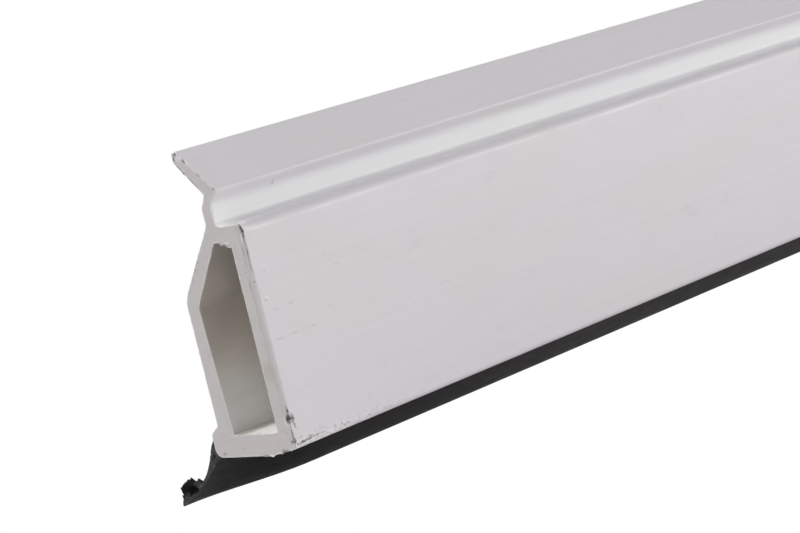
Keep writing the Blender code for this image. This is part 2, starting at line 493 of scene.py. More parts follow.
# Chips in the sawn end: middle (from the cut, y, z), reach (x, y, z), and how far they are pushed
# in along each axis, in millimetres
CHIPS = [
    ((0.2, -14.7, -7.3), (0.75, 0.75, 0.95), (0.42, 0.36, 0.0)),
    ((0.5, -14.8, -8.3), (0.45, 0.3, 0.5), (0.05, 0.16, 0.0)),
    ((0.0, -14.7, 17.6), (0.3, 0.28, 1.1), (0.22, 0.12, 0.0)),
    ((0.0, -14.8, 15.2), (0.25, 0.25, 1.5), (0.08, 0.08, 0.0)),
    ((0.0, -5.1, 29.2), (0.4, 0.45, 0.45), (0.22, -0.08, -0.12)),
    ((0.0, -5.9, 28.9), (0.3, 0.3, 0.3), (0.14, 0.0, -0.08)),
    ((0.0, -7.0, 28.2), (0.3, 0.7, 0.65), (0.16, 0.05, -0.10)),
    ((0.0, -9.1, 26.3), (0.25, 0.5, 0.5), (0.12, 0.04, -0.07)),
    ((0.0, -11.2, 23.9), (0.25, 0.3, 0.3), (0.12, 0.05, 0.0)),
    ((0.0, -12.2, -11.8), (0.35, 0.4, 0.35), (0.16, 0.0, 0.12)),
    ((0.0, -8.6, -12.2), (0.3, 0.3, 0.3), (0.14, 0.0, 0.12)),
    ((0.2, -14.4, -10.6), (0.5, 0.45, 0.5), (0.14, 0.14, 0.05)),
    ((0.6, -14.8, 8.4), (0.45, 0.3, 0.5), (0.0, 0.07, 0.0)),
]


def chipped(points, from_cut):
    """Pushes in the points round each chip by its push times the square of one less the squared
    distance from its middle, in reaches, with ragged noise on that distance."""
    local = np.column_stack([from_cut, points[:, 1:]]) / MM
    ragged = rough_noise(local, 0.45, seed=31) * 0.45
    moved = points.copy()
    for middle, reach, push in CHIPS:
        apart = (((local - middle) / reach) ** 2).sum(1) + ragged
        depth = np.clip(1 - apart, 0, 1.2) ** 2
        moved += depth[:, None] * np.array(push) * MM
    return moved


# Ragged burrs left by the saw: middle (y, z), reach (y, z) and how far they stand out, in millimetres
BURRS = [
    ((-10.4, 16.5), (1.9, 0.9), 0.36),
    ((-11.0, -12.3), (3.4, 0.8), 0.20),
    ((-14.2, -11.5), (0.9, 0.9), 0.12),
    ((-6.5, -9.0), (5.0, 0.5), 0.06),
]

# Where the saw has smeared the shelf's front corner outwards, in millimetres: y and z, reach and
# height
SMEAR_PLACE = np.array([-14.5, 18.75])
SMEAR_REACH = 0.75
SMEAR_HEIGHT = 0.34


def burr(local, from_cut):
    """Height of the burrs on a side, in millimetres: torn tongues that fall off as a bell curve
    from the cut."""
    height = np.zeros(len(local))
    for middle, reach, most in BURRS:
        apart = (((local[:, 1:] - middle) / reach) ** 2).sum(1)
        height = np.maximum(height, most * smooth_step(1.5 * (1 - apart)))
    tongues = np.clip(0.25 + 1.1 * rough_noise(local[:, 1:], 0.62, seed=51), 0, 1)
    return height * tongues * bell(from_cut / BURR_REACH)


def saw_relief(points):
    """Depth of a sawn face: fine scores across the wall, a slow wander, and one shallow step that
    wanders down the front wall."""
    y, z = points[:, 1] / MM, points[:, 2] / MM
    grain = np.column_stack([z * 2.1 + y * 0.5, y * 0.16 - z * 0.04])
    scores = lattice_noise(grain, 0.7, seed=5) * 0.014
    wander = rough_noise(np.column_stack([y, z]), 2.6, seed=8) * 0.03
    step_y = -13.55 + 0.30 * lattice_noise(np.column_stack([z, z * 0]), 3.0, seed=12)
    step = smooth_step((step_y - y) / 0.3) * 0.07 * smooth_step((z + 9) / 2)
    return (scores + wander + step) * MM


def carrier_shape(sizes):
    """Returns the function that gives the extrusion its real surface: walls that wander along the
    bar and carry faint die lines, a rubbed and nicked rim at each cut, sawn faces and chips."""

    def shape(points, normals):
        moved = points.copy()
        local = points / MM
        from_start = points[:, 0] - BAR_START
        from_end = BAR_END - points[:, 0]
        on_side = np.abs(normals).sum(1) > 0
        slow = lattice_noise(local * [0.012, 0.05, 0.05], 1.0, seed=3) * 0.8
        lines = lattice_noise(local[:, 1:], 0.9, seed=4) * 0.22
        drift = (slow + lines) * sizes.waviness
        nearest = np.minimum(from_start, from_end)
        nicks = 0.5 + 0.5 * rough_noise(local, 0.5, seed=17)
        rubbed = bell(nearest / RUBBED_REACH) * (0.05 + 0.10 * nicks**2) * MM
        apart = (((local[:, 1:] - SMEAR_PLACE) / SMEAR_REACH) ** 2).sum(1)
        smear = np.exp(-apart - from_start / SMEAR_LENGTH)
        torn = burr(local, from_start) * MM + SMEAR_HEIGHT * MM * smear
        outwards = drift - sizes.waviness - rubbed * (torn < 0.03 * MM) + torn
        moved[:, 1:] += normals * np.where(on_side, outwards, 0)[:, None]
        at_end = smooth_step(1 - nearest / SCORED_REACH)
        sign = np.where(from_start < from_end, 1.0, -1.0)
        moved[:, 0] += sign * at_end * (saw_relief(points) + 0.05 * MM)
        moved[:, 0] -= torn * 0.3 * (nearest < 0.3 * MM)
        near = from_start < CHIPPED_LENGTH
        moved[near] = chipped(moved[near], from_start[near])
        return moved

    return shape


# Distances along the blade's line from the hinge: where its back and front faces start inside the
# foot, the step between its points, and where the curl starts and over what run it grows
BACK_START = -3.0 * MM
FRONT_START = -1.6 * MM
BLADE_STEP = 0.12 * MM
CURL_START = 2.2 * MM
CURL_RUN = 2.6 * MM

# The hollow in the torn lump: its middle (y, z), reach (y, z) and depth, in millimetres
CUP_PLACE = np.array([9.2, -16.9])
CUP_REACH = np.array([1.4, 0.9])
CUP_DEPTH = 1.3


def blade_line(sizes, s, curl):
    """The blade's centre line at distances s from the hinge, for each share of curl: its angle from
    straight down grows evenly from root to tip, plus the curl beyond the root, and its place is
    the sum of the steps along that angle. Returns y, z and the angle, one row for each curl."""
    curled = smooth_step((s - CURL_START) / CURL_RUN)
    down = np.clip(s / sizes.length, 0, 1)
    angle = sizes.hang_at_root + (sizes.hang_at_tip - sizes.hang_at_root) * down
    angle = angle + curl[:, None] * curled
    places = []
    for pace, start in zip((np.sin(angle), -np.cos(angle)), HINGE):
        steps = (pace[:, 1:] + pace[:, :-1]) / 2 * np.diff(s)
        run = np.concatenate([np.zeros((len(curl), 1)), np.cumsum(steps, 1)], 1)
        at_hinge = run[:, np.argmin(np.abs(s)), None]
        places.append(start + run - at_hinge)
    return *places, angle


# The torn lump's outline along the blade, in millimetres: where it steps, over what run, and by
# what share of its height
TEAR_STEPS = [(4.7, 0.4, 0.36), (6.2, 0.8, 0.64), (9.25, 0.25, -0.6), (9.6, 1.0, -0.4)]


def torn_height(sizes, s, from_cut):
    """How far the torn lump at the cut end stands above the blade: smooth steps up and down along
    it, small teeth from noise, and a ragged fade within about 1.5 mm of the cut."""
    s_mm, x_mm = s[None] / MM, from_cut[:, None] / MM
    lump = sum(rise * smooth_step((s_mm - at) / run) for at, run, rise in TEAR_STEPS)
    place = np.stack(np.broadcast_arrays(s_mm, x_mm), -1).reshape(-1, 2)
    teeth = lattice_noise(place * [1, 0.6], 0.27, seed=41).reshape(len(from_cut), -1)
    clumps = lattice_noise(place, 0.9, seed=43).reshape(len(from_cut), -1)
    fade = smooth_step(1.25 - (x_mm - 0.5 * clumps - 0.2 * teeth) / 1.5)
    toothed = lump + smooth_step(lump * 4) * (0.17 * teeth + 0.06 * clumps)
    return np.clip(toothed * fade, 0, None) * sizes.tear


def lip_sections(sizes, stations):
    """The lip's clockwise outline at each station: up the front face, round inside the foot and
    down the back face to the tip. Each face lies half a thickness from the centre line. The half
    thickness falls as a bell curve from root to tip, and grows above the hinge towards the foot."""
    from_cut = stations - BAR_START
    curl = sizes.curl * (1 - smooth_step(from_cut / sizes.curl_fade))
    s = np.arange(BACK_START, sizes.length + 1e-9, BLADE_STEP)
    y, z, angle = blade_line(sizes, s, curl)
    above = np.maximum(-s, 0)
    thinning = bell(np.maximum(s, 0) / sizes.taper)
    half = sizes.tip_half + (sizes.root_half - sizes.tip_half) * thinning
    back_half = half + 0.42 * soft_ramp(-s, 0.3 * MM) - 0.0652 * above**2 / MM
    front_half = half + 0.17 * above**2 / MM
    back_off = back_half + torn_height(sizes, s, from_cut)
    across = np.cos(angle), np.sin(angle)
    back = np.stack([y + across[0] * back_off, z + across[1] * back_off], -1)
    front = np.stack([y - across[0] * front_half, z - across[1] * front_half], -1)
    front = front[:, s >= FRONT_START][:, ::-1]

    turned = angle[:, -1:] - np.linspace(0, math.pi, 7)[1:-1]
    tip_y = y[:, -1:] + half[-1] * np.cos(turned)
    tip = np.stack([tip_y, z[:, -1:] + half[-1] * np.sin(turned)], -1)
    round_foot = np.radians(np.arange(-65, 1, 8))
    sunk = FOOT_RADIUS - 0.1 * MM
    inside_y = FOOT_CENTRE[0] + sunk * np.cos(round_foot)
    inside = np.stack([inside_y, FOOT_CENTRE[1] + sunk * np.sin(round_foot)], -1)
    inside = np.broadcast_to(inside, (len(stations), *inside.shape))
    return np.concatenate([front, inside, back, tip], 1)


def lip_shape(points, normals):
    """Roughens the sawn edge and hollows out the torn lump at the cut end: the cap is pushed in by a
    bell curve round the lump's middle."""
    moved = points.copy()
    local = points / MM
    from_start = points[:, 0] - BAR_START
    near = smooth_step(1 - from_start / (0.5 * MM))
    moved[:, 0] += near * (0.10 + 0.07 * rough_noise(local, 0.4, seed=23)) * MM
    on_cap = np.abs(normals).sum(1) == 0
    cup = bell((local[:, 1:] - CUP_PLACE) / CUP_REACH).prod(1) * CUP_DEPTH * MM
    moved[:, 0] += np.where(on_cap & (from_start < 0.1 * MM), cup, 0)
    return moved


# ---------------- materials


def tinted(colour, red, green, blue):
    """The colour with each of its parts multiplied."""
    return (colour[0] * red, colour[1] * green, colour[2] * blue)


class Finish:
    """A material whose nodes are added one after another. The shade starts as the base colour, and
    each coat of paint or tint goes over what is there."""

    def __init__(self, name, base, roughness, specular):
        self.material = bpy.data.materials.new(name)
        self.material.use_nodes = True
        self.tree = self.material.node_tree
        self.shader = self.tree.nodes["Principled BSDF"]
        self.shader.inputs["Roughness"].default_value = roughness
        self.shader.inputs["Specular IOR Level"].default_value = specular
        self.base = self.shade = tuple(base)
        # Millimetres from the cut, then y and z in millimetres
        object_place = self.node("TexCoord", {})["Object"]
        to_cut = (-BAR_START / MM, 0, 0)
        self.place = self.vector("MULTIPLY_ADD", object_place, (1 / MM,) * 3, to_cut)

    def node(self, kind, inputs, **settings):
        return add_node(self.tree, kind, inputs, **settings)

    def vector(self, operation, *values):
        outputs = self.node("VectorMath", dict(enumerate(values)), operation=operation)
        return outputs["Value" if operation == "LENGTH" else "Vector"]

    def math(self, operation, *values):
        return self.node("Math", dict(enumerate(values)), operation=operation)[0]

    def product(self, a, b):
        return self.math("MULTIPLY", a, b)

    def most(self, a, b):
        return self.math("MAXIMUM", a, b)

    def ramp(self, value, low, high, to_low=0.0, to_high=1.0):
        """Takes low to high smoothly on to to_low to to_high."""
        inputs = dict(enumerate((value, low, high, to_low, to_high)))
        return self.node("MapRange", inputs, interpolation_type="SMOOTHSTEP")["Result"]

    def attribute(self, name):
        return self.node("Attribute", {}, attribute_name=name)["Fac"]

    def axes(self):
        return self.node("SeparateXYZ", {0: self.place})

    def stretched(self, *scale):
        return self.vector("MULTIPLY", self.place, scale)

    def noise(self, place, detail, rough, scale):
        inputs = {"Vector": place, "Scale": scale, "Detail": detail, "Roughness": rough}
        return self.node("TexNoise", inputs)

    def grain(self, place, detail=3.0, rough=0.55, scale=1.0):
        """The noise's value alone, between 0 and 1."""
        return self.noise(place, detail, rough, scale)["Fac"]

    def shaken(self, place, scale, *amount):
        """The place shaken by noise, so that a mark's outline isn't a clean ellipse."""
        shake = self.noise(place, 2.0, 0.55, scale)["Color"]
        centred = self.vector("ADD", place, tuple(-part / 2 for part in amount))
        return self.vector("MULTIPLY_ADD", shake, amount, centred)

    def blot(self, place, middle, reach, strength):
        """A soft ellipsoid: the strength at its middle, and 0 past its reach."""
        shift = tuple(-m / r for m, r in zip(middle, reach))
        scaled = self.vector("MULTIPLY_ADD", place, tuple(1 / r for r in reach), shift)
        return self.ramp(self.vector("LENGTH", scaled), 0.45, 1.0, strength, 0.0)

    def blots(self, place, marks):
        total = 0.0
        for middle, reach, strength in marks:
            total = self.most(self.blot(place, middle, reach, strength), total)
        return total

    def paint(self, amount, colour):
        """Covers this share of the shade with the colour."""
        under = (*self.shade, 1.0) if isinstance(self.shade, tuple) else self.shade
        inputs = {0: amount, 6: under, 7: (*colour, 1.0)}
        self.shade = self.node("Mix", inputs, data_type="RGBA")[2]

    def tint(self, amount, *parts):
        """Covers this share of the shade with the base colour times these parts."""
        self.paint(amount, tinted(self.base, *parts))

    def done(self, roughness, height, distance):
        """Links up the shader, with this height over this distance as its bump."""
        bump = self.node("Bump", {"Strength": 1.0, "Distance": distance, "Height": height})
        wanted = {"Base Color": self.shade, "Roughness": roughness, "Normal": bump["Normal"]}
        for name, value in wanted.items():
            put(self.tree, self.shader.inputs[name], value)
        return self.material


# ---------------- marks, in millimetres

# The front face's y, and how deep its marks reach
FRONT_FACE = -14.8
MARK_DEPTH = 0.5


def dark_line(ends, count, reach, strength):
    """A row of small marks on the straight line between two ends."""
    places = np.linspace(*ends, count)
    return [(tuple(place), reach, strength) for place in places.tolist()]


def on_front(marks):
    """Marks on the front face, given as middle (from the cut, z), reach (x, z) and strength."""
    return [
        ((x, FRONT_FACE, z), (wide, MARK_DEPTH, tall), strength)
        for (x, z), (wide, tall), strength in marks
    ]


def on_cut(marks):
    """Marks on the sawn face, given as middle (y, z), reach (y, z) and strength."""
    return [((0, *middle), (1, *reach), strength) for middle, reach, strength in marks]


# Grime on the extruded faces: middle (from the cut, y, z), reach and strength
SCUFFS = dark_line(((0.5, FRONT_FACE, -10.8), (2.7, FRONT_FACE, -10.65)), 9, (0.27, 0.5, 0.24), 0.9)
SCUFFS += dark_line(((2.9, FRONT_FACE, -10.6), (5.2, FRONT_FACE, -10.55)), 7, (0.22, 0.5, 0.15), 0.7)
FACE_GRIME = SCUFFS + [
    ((0.3, -14.6, -7.4), (0.6, 0.8, 0.7), 1.0),
    ((0.1, FRONT_FACE, -6.3), (0.2, 0.6, 0.6), 1.0),
    ((0.8, FRONT_FACE, -8.3), (0.13, 0.4, 0.55), 0.85),
    ((5.1, FRONT_FACE, -10.1), (1.3, 0.6, 0.7), 0.11),
    ((11.1, -10.2, 22.4), (0.13, 0.9, 0.75), 0.7),
] + on_front([
    ((0.05, -9.4), (0.13, 0.9), 0.9),
    ((0.1, -10.3), (0.3, 0.5), 0.9),
    ((0.0, 17.6), (0.22, 1.3), 0.9),
    ((0.0, 15.4), (0.16, 2.0), 0.6),
    ((1.1, 8.4), (0.28, 0.3), 0.24),
    ((1.96, 12.05), (0.22, 0.25), 0.20),
    ((1.1, 11.8), (0.25, 0.2), 0.14),
    ((0.6, 9.9), (0.2, 0.25), 0.20),
    ((5.25, 7.05), (0.6, 0.18), 0.29),
    ((2.5, 6.9), (0.8, 0.14), 0.15),
    ((4.6, 3.15), (0.8, 0.14), 0.27),
    ((2.0, 3.05), (1.3, 0.16), 0.20),
    ((8.0, 3.2), (0.45, 0.14), 0.22),
    ((6.8, 3.1), (1.6, 0.08), 0.11),
    ((14.5, 9.95), (0.5, 0.22), 0.20),
    ((12.85, 11.75), (0.14, 0.6), 0.10),
    ((11.6, 4.85), (0.5, 0.12), 0.12),
    ((26.9, 1.15), (0.5, 0.13), 0.14),
    ((33.5, 2.4), (1.4, 0.35), 0.08),
    ((19.1, -5.2), (0.12, 0.8), 0.15),
    ((4.5, -3.9), (0.3, 0.2), 0.10),
    ((14.9, -8.5), (0.4, 0.5), 0.08),
])

# Pale marks on the extruded faces: painted highlights on the rims of chips, on the smeared front corner
# of the shelf and along the toe's edge
FACE_HIGHLIGHTS = [
    ((0.95, FRONT_FACE, -7.9), (0.22, 0.6, 0.7), 0.9),
    ((1.3, FRONT_FACE, 8.7), (0.4, 0.6, 0.4), 0.7),
    ((0.7, -14.2, 18.9), (1.3, 0.9, 0.35), 0.8),
    ((4.5, -14.5, -11.4), (5.0, 0.9, 0.35), 0.45),
]

# Dirt between the tongues of the burr on the hollow's ceiling
CEILING_GRIME = [
    ((0.0, -9.15, 16.7), (0.5, 0.22, 0.3), 0.9),
    ((0.0, -9.9, 16.45), (0.35, 0.16, 0.3), 0.8),
    ((0.0, -10.65, 16.25), (0.35, 0.2, 0.3), 0.9),
    ((0.0, -11.3, 16.1), (0.4, 0.2, 0.3), 0.85),
]

# Painted highlights on the sawn face's edges and burrs
SAWN_EDGE_HIGHLIGHTS = on_cut([
    ((-10.6, 16.55), (1.3, 0.35), 0.95),
    ((-12.6, 18.9), (2.4, 0.2), 0.8),
    ((-9.5, -12.1), (3.6, 0.22), 0.8),
    ((-14.2, 17.2), (0.16, 1.3), 0.7),
    ((-5.6, 28.6), (0.7, 0.6), 0.5),
    ((-6.0, 26.9), (0.4, 0.4), 0.5),
    ((-13.9, -7.6), (0.3, 1.0), 0.5),
])

# Stretches of the sawn face's rim that hold dirt
RIM_DIRT = on_cut([
    ((-5.6, 26.9), (1.2, 1.2), 0.95),
    ((-7.6, 25.1), (1.4, 1.4), 0.75),
    ((-6.9, 28.3), (0.75, 0.75), 0.85),
    ((-9.2, 26.3), (0.8, 0.8), 0.9),
    ((-10.35, 25.2), (0.5, 0.5), 0.8),
    ((-14.7, 17.6), (0.9, 2.0), 1.0),
    ((-14.8, 14.2), (0.6, 2.6), 0.6),
    ((-14.8, -7.0), (0.6, 2.2), 0.9),
    ((-14.8, -9.8), (0.6, 1.3), 0.9),
    ((-12.6, -11.9), (1.2, 0.7), 0.85),
    ((-8.6, -12.2), (0.9, 0.5), 0.6),
    ((-10.4, 16.5), (1.9, 0.6), 0.5),
])

# Grime on the sawn face
SAWN_GRIME = on_cut([
    ((-5.2, 29.15), (0.34, 0.34), 0.95),
    ((-5.95, 28.95), (0.26, 0.24), 0.8),
    ((-4.85, 28.6), (0.2, 0.4), 0.8),
    ((-6.7, 28.4), (0.32, 0.28), 0.6),
    ((-7.3, 27.85), (0.4, 0.28), 0.8),
    ((-10.3, 25.15), (0.3, 0.12), 0.6),
    ((-11.25, 23.9), (0.3, 0.25), 0.9),
    ((-10.95, 22.7), (0.14, 0.4), 0.5),
    ((-5.9, 26.6), (0.3, 0.35), 0.8),
    ((-14.55, 18.5), (0.3, 0.45), 0.8),
    ((-14.75, 17.6), (0.24, 0.65), 1.0),
    ((-14.78, 16.4), (0.2, 1.0), 0.8),
    ((-14.25, 17.9), (0.12, 0.6), 0.5),
    ((-13.55, 12.5), (0.16, 0.14), 0.6),
    ((-14.6, 11.15), (0.3, 0.2), 0.6),
    ((-13.9, 15.2), (0.12, 0.9), 0.3),
    ((-13.6, 10.7), (0.14, 1.0), 0.35),
    ((-14.1, -2.75), (0.25, 0.16), 0.45),
    ((-4.45, 14.6), (0.22, 0.18), 0.5),
    ((-3.55, 13.65), (0.22, 0.18), 0.45),
    ((-2.45, 12.5), (0.2, 0.3), 0.4),
    ((-14.7, -6.2), (0.3, 0.45), 0.8),
    ((-14.5, -7.3), (0.65, 0.75), 1.0),
    ((-14.7, -9.2), (0.2, 0.9), 0.9),
    ((-14.35, -10.4), (0.4, 0.3), 0.8),
    ((-14.7, -10.9), (0.2, 0.4), 0.7),
    ((-12.2, -11.35), (0.2, 0.16), 0.6),
    ((-12.95, -11.5), (0.25, 0.2), 0.8),
    ((-12.4, -11.9), (0.4, 0.16), 0.9),
    ((-8.6, -12.1), (0.2, 0.2), 0.8),
    ((-8.1, -8.4), (0.3, 0.22), 0.85),
    ((-11.4, -9.15), (0.16, 0.14), 0.7),
    ((-4.2, -11.0), (0.14, 0.16), 0.35),
    ((-0.2, -11.6), (0.45, 0.22), 0.5),
    ((-13.5, -9.1), (0.3, 0.22), 0.25),
    ((-9.3, 16.65), (0.2, 0.2), 0.8),
    ((-10.1, 16.5), (0.2, 0.14), 0.6),
    ((-11.2, 16.2), (0.25, 0.14), 0.7),
])


def extruded_pvc(colours, name, marks=()):
    """Satin white plastic: cool and warm patches a few centimetres wide, streaks along the bar from the
    die, faint smudges and specks, painted light in the cove and painted shade on the shelf, and, if
    there are marks, painted highlights on edges and chip rims, grime in the marks and pale, stippled
    rubbing along the foot of the front face."""
    finish = Finish(name, colours.pvc, colours.pvc_gloss, 0.4)
    patches = finish.grain(finish.stretched(0.03, 0.09, 0.09), 2.0)
    streaks = finish.grain(finish.stretched(0.01, 2.2, 2.2), rough=0.7)
    smudges = finish.grain(finish.stretched(0.22, 0.5, 0.5), rough=0.5)
    specks = finish.grain(finish.stretched(0.5, 1.6, 1.6), 2.0, 0.6)
    orange_peel = finish.grain(finish.stretched(0.9, 2.5, 2.5))
    along = finish.stretched(0, 1, 1)

    finish.tint(finish.ramp(patches, 0.35, 0.65), 0.985, 0.99, 0.965)
    streaky = finish.ramp(streaks, 0.2, 0.8, -0.012, 0.012)
    tone = finish.math("ADD", streaky, finish.ramp(smudges, 0.62, 0.8, 0.0, -0.03))
    finish.shade = finish.vector("ADD", finish.shade, tone)
    # Painted light: the cove's back wall is painted lighter, standing in for the light that the shelf
    # and the flange throw back into it
    cove_bounce_light = finish.blot(along, (0, -9.9, 20.2), (1, 2.0, 2.7), 1.0)
    finish.tint(cove_bounce_light, 1.13, 1.165, 1.12)
    # Painted shade: the shelf faces up and gets little of the front light, so it is painted darker
    shelf_shade = finish.blot(along, (0, -13.6, 19.3), (1, 2.2, 1.5), 0.9)
    finish.tint(shelf_shade, 0.87, 0.87, 0.86)
    grime = finish.ramp(specks, 0.76, 0.84, 0.0, 0.18)
    if marks:
        place = finish.shaken(finish.place, 1 / 0.35, 0.35, 0.35, 0.35)
        # Painted highlights on the edges and chip rims near the cut
        finish.paint(finish.blots(place, FACE_HIGHLIGHTS), (0.95, 0.935, 0.92))
        grain = finish.ramp(finish.grain(finish.place, 2.0, scale=3.5), 0.36, 0.58, 0.25, 1.0)
        grime = finish.product(finish.most(finish.blots(place, marks), grime), grain)
        axes = finish.axes()
        foot = finish.product(finish.ramp(axes["Z"], -9.4, -11.0), finish.ramp(axes["X"], 26.0, 0.0))
        stipple = finish.grain(finish.stretched(1.5, 2.6, 2.6), 2.0, 0.6)
        pale = finish.product(foot, finish.ramp(stipple, 0.48, 0.36, 0.0, 0.7))
        finish.paint(pale, (0.97, 0.96, 0.95))
        dark = finish.product(foot, finish.ramp(stipple, 0.54, 0.66, 0.0, 0.62))
        grime = finish.most(grime, dark)
    finish.paint(grime, colours.grime)
    roughness = finish.math("ADD", finish.ramp(smudges, 0.3, 0.7, -0.05, 0.06), colours.pvc_gloss)
    height = finish.math("ADD", finish.product(streaks, 0.8), orange_peel)
    return finish.done(roughness, height, 0.004 * MM)


def hollow_pvc(colours, name, marks=()):
    """The inside of the extrusion: unpolished and warm, with painted shade near its top and near the
    cut, painted bounce light towards the floor, and dust in streaks along the bar. Its floor is darker
    beside the back wall, a painted shadow."""
    finish = Finish(name, colours.hollow, 0.6, 0.25)
    dust = finish.grain(finish.stretched(0.05, 0.35, 0.35), 4.0, 0.6)
    fine = finish.grain(finish.stretched(0.3, 2.0, 2.0))
    axes = finish.axes()

    # Painted shade and painted bounce light: the inside is darker near its top and lighter towards the
    # floor, which throws light up on to it
    finish.shade = tinted(finish.base, 0.68, 0.655, 0.635)
    finish.tint(finish.ramp(axes["Z"], 9.4, 7.6), 1.05, 1.02, 0.99)
    finish.tint(finish.ramp(axes["Z"], 6.0, -9.0), 1.22, 1.29, 1.34)
    # Painted shade: the back wall of the hollow is darker within a few millimetres of the cut
    finish.tint(finish.blot(finish.place, (0, -3.0, 8.0), (8, 7, 9), 0.75), 0.82, 0.79, 0.76)
    # Painted shadow: the floor is darker along the back wall
    on_floor = finish.ramp(axes["Z"], -8.93, -8.98)
    by_back_wall = finish.ramp(axes["Y"], -6.6, -4.7)
    finish.tint(finish.product(on_floor, by_back_wall), 0.68, 0.68, 0.67)
    finish.tint(finish.ramp(dust, 0.35, 0.7, 0.0, 0.22), 0.85, 0.84, 0.82)
    if marks:
        place = finish.shaken(finish.place, 1 / 0.35, 0.3, 0.3, 0.3)
        finish.paint(finish.blots(place, marks), colours.grime)
    return finish.done(finish.ramp(dust, 0.3, 0.7, 0.5, 0.7), fine, 0.006 * MM)


def saw_bands(finish):
    """Two bands left where the blade jumped in the front wall: cooler outside a line that wanders
    down the wall, with a pale ridge on the line and dark streaks beside it."""
    wander = finish.grain(finish.stretched(0, 0, 0.28), 2.0)
    broken = finish.ramp(finish.grain(finish.stretched(0, 2.0, 0.6)), 0.4, 0.6)
    axes = finish.axes()
    upper = finish.ramp(axes["Z"], -4.0, 2.0)
    offset = finish.math("ADD", axes["Y"], finish.ramp(wander, 0.3, 0.7, 13.35, 13.85))
    finish.tint(finish.ramp(offset, -0.05, 0.05, 0.6, 0.0), 0.93, 0.94, 0.955)
    for middle, half, strength, parts in (
        (0.12, 0.11, 0.8, (1.16, 1.15, 1.14)),
        (-0.12, 0.09, 0.55, (0.62, 0.58, 0.53)),
        (-0.42, 0.07, 0.35, (0.66, 0.62, 0.57)),
    ):
        away = finish.math("ABSOLUTE", finish.math("SUBTRACT", offset, middle))
        line = finish.product(finish.ramp(away, 0.0, half, strength, 0.0), broken)
        finish.tint(finish.product(line, upper), *parts)


def sawn_pvc(colours, name, marks=()):
    """Sawn white plastic: duller, with scores from the teeth, mottling and a painted highlight along
    the rim, and, if there are marks, warm patches, saw bands, a stain, painted highlights on the edges
    and burrs, dirt along the rim and grime."""
    finish = Finish(name, colours.sawn, 0.6, 0.3)
    flat = finish.stretched(0, 1, 1)
    mottle = finish.grain(flat, 4.0, 0.6, 0.45)
    scores = finish.grain(finish.stretched(0, 0.5, 2.4), 4.0, 0.7)
    highlight_gaps = finish.ramp(finish.grain(flat, scale=1.1), 0.35, 0.6, 0.25, 1.0)
    fine = finish.grain(flat, scale=5.0)
    from_rim = finish.attribute("rim")

    finish.tint(finish.ramp(mottle, 0.3, 0.7), 0.965, 0.955, 0.94)
    finish.tint(finish.ramp(scores, 0.3, 0.8, 0.0, 0.35), 0.93, 0.93, 0.93)
    if marks:
        warm = finish.grain(flat, 2.0, 0.5, 0.16)
        finish.tint(finish.ramp(warm, 0.4, 0.6, 0.0, 0.8), 1.01, 0.975, 0.975)
        saw_bands(finish)
    # Painted highlight: the sawn face is paler within about a third of a millimetre of its rim, where
    # the rounded edge catches the light, broken up by noise
    rim_highlight = finish.product(finish.ramp(from_rim, 0.04, 0.34, 0.75, 0.0), highlight_gaps)
    finish.tint(rim_highlight, 1.36, 1.36, 1.34)
    if marks:
        finish.paint(finish.blot(flat, (0, -13.2, -0.9), (1.0, 1.5, 2.0), 0.5), colours.stain)
        place = finish.shaken(flat, 2.6, 0, 0.3, 0.3)
        # Painted highlights on the sawn face's edges and burrs
        finish.tint(finish.blots(place, SAWN_EDGE_HIGHLIGHTS), 1.38, 1.38, 1.34)
        broken = finish.ramp(finish.grain(flat, rough=0.7, scale=1.9), 0.3, 0.42)
        rim_dirt = finish.product(finish.ramp(from_rim, 0.14, 0.42, 1.0, 0.0), broken)
        rim_dirt = finish.product(rim_dirt, finish.blots(flat, RIM_DIRT))
        grain = finish.ramp(finish.grain(flat, 2.0, scale=4.0), 0.3, 0.6, 0.6, 1.0)
        grime = finish.most(finish.blots(place, marks), rim_dirt)
        finish.paint(finish.product(grime, grain), colours.grime)
    height = finish.math("ADD", scores, finish.product(fine, 0.6))
    return finish.done(finish.ramp(mottle, 0.3, 0.7, 0.5, 0.65), height, 0.02 * MM)


def soft_black(colours, name):
    """Soft black plastic: near-black, satin, with faint streaks along the bar, and a painted reflection
    of the white floor that lightens it away from the cut, with dust patches in it."""
    finish = Finish(name, colours.lip, colours.lip_gloss, 0.5)
    streaks = finish.grain(finish.stretched(0.02, 1.8, 1.8), rough=0.6)
    dust = finish.grain(finish.stretched(0.25, 0.8, 0.8), 4.0, 0.6)
    fine = finish.grain(finish.place, scale=2.5)
    from_cut = finish.axes()["X"]
    floor_sheen = finish.ramp(from_cut, 8.0, 34.0)

    # Painted reflection: the lip is painted lighter from 8 mm past the cut, and lighter still from 34
    # mm, for the white floor seen in it at a grazing angle
    finish.tint(floor_sheen, 3.2, 3.25, 3.2)
    finish.tint(finish.ramp(from_cut, 34.0, 88.0), 7.0, 7.6, 7.2)
    # Dust patches, which show only where the painted reflection lightens the lip
    dust_and_sheen = finish.product(finish.ramp(dust, 0.45, 0.8, 0.0, 0.3), floor_sheen)
    finish.tint(dust_and_sheen, 8.0, 8.6, 8.2)
    finish.tint(finish.ramp(streaks, 0.3, 0.75, 0.0, 0.3), 0.8, 0.8, 0.8)
    roughness = finish.math("ADD", finish.ramp(dust, 0.3, 0.7, -0.06, 0.12), colours.lip_gloss)
    roughness = finish.math("ADD", roughness, finish.ramp(from_cut, 8.0, 34.0, 0.15, 0.0))
    return finish.done(roughness, finish.math("ADD", streaks, fine), 0.008 * MM)


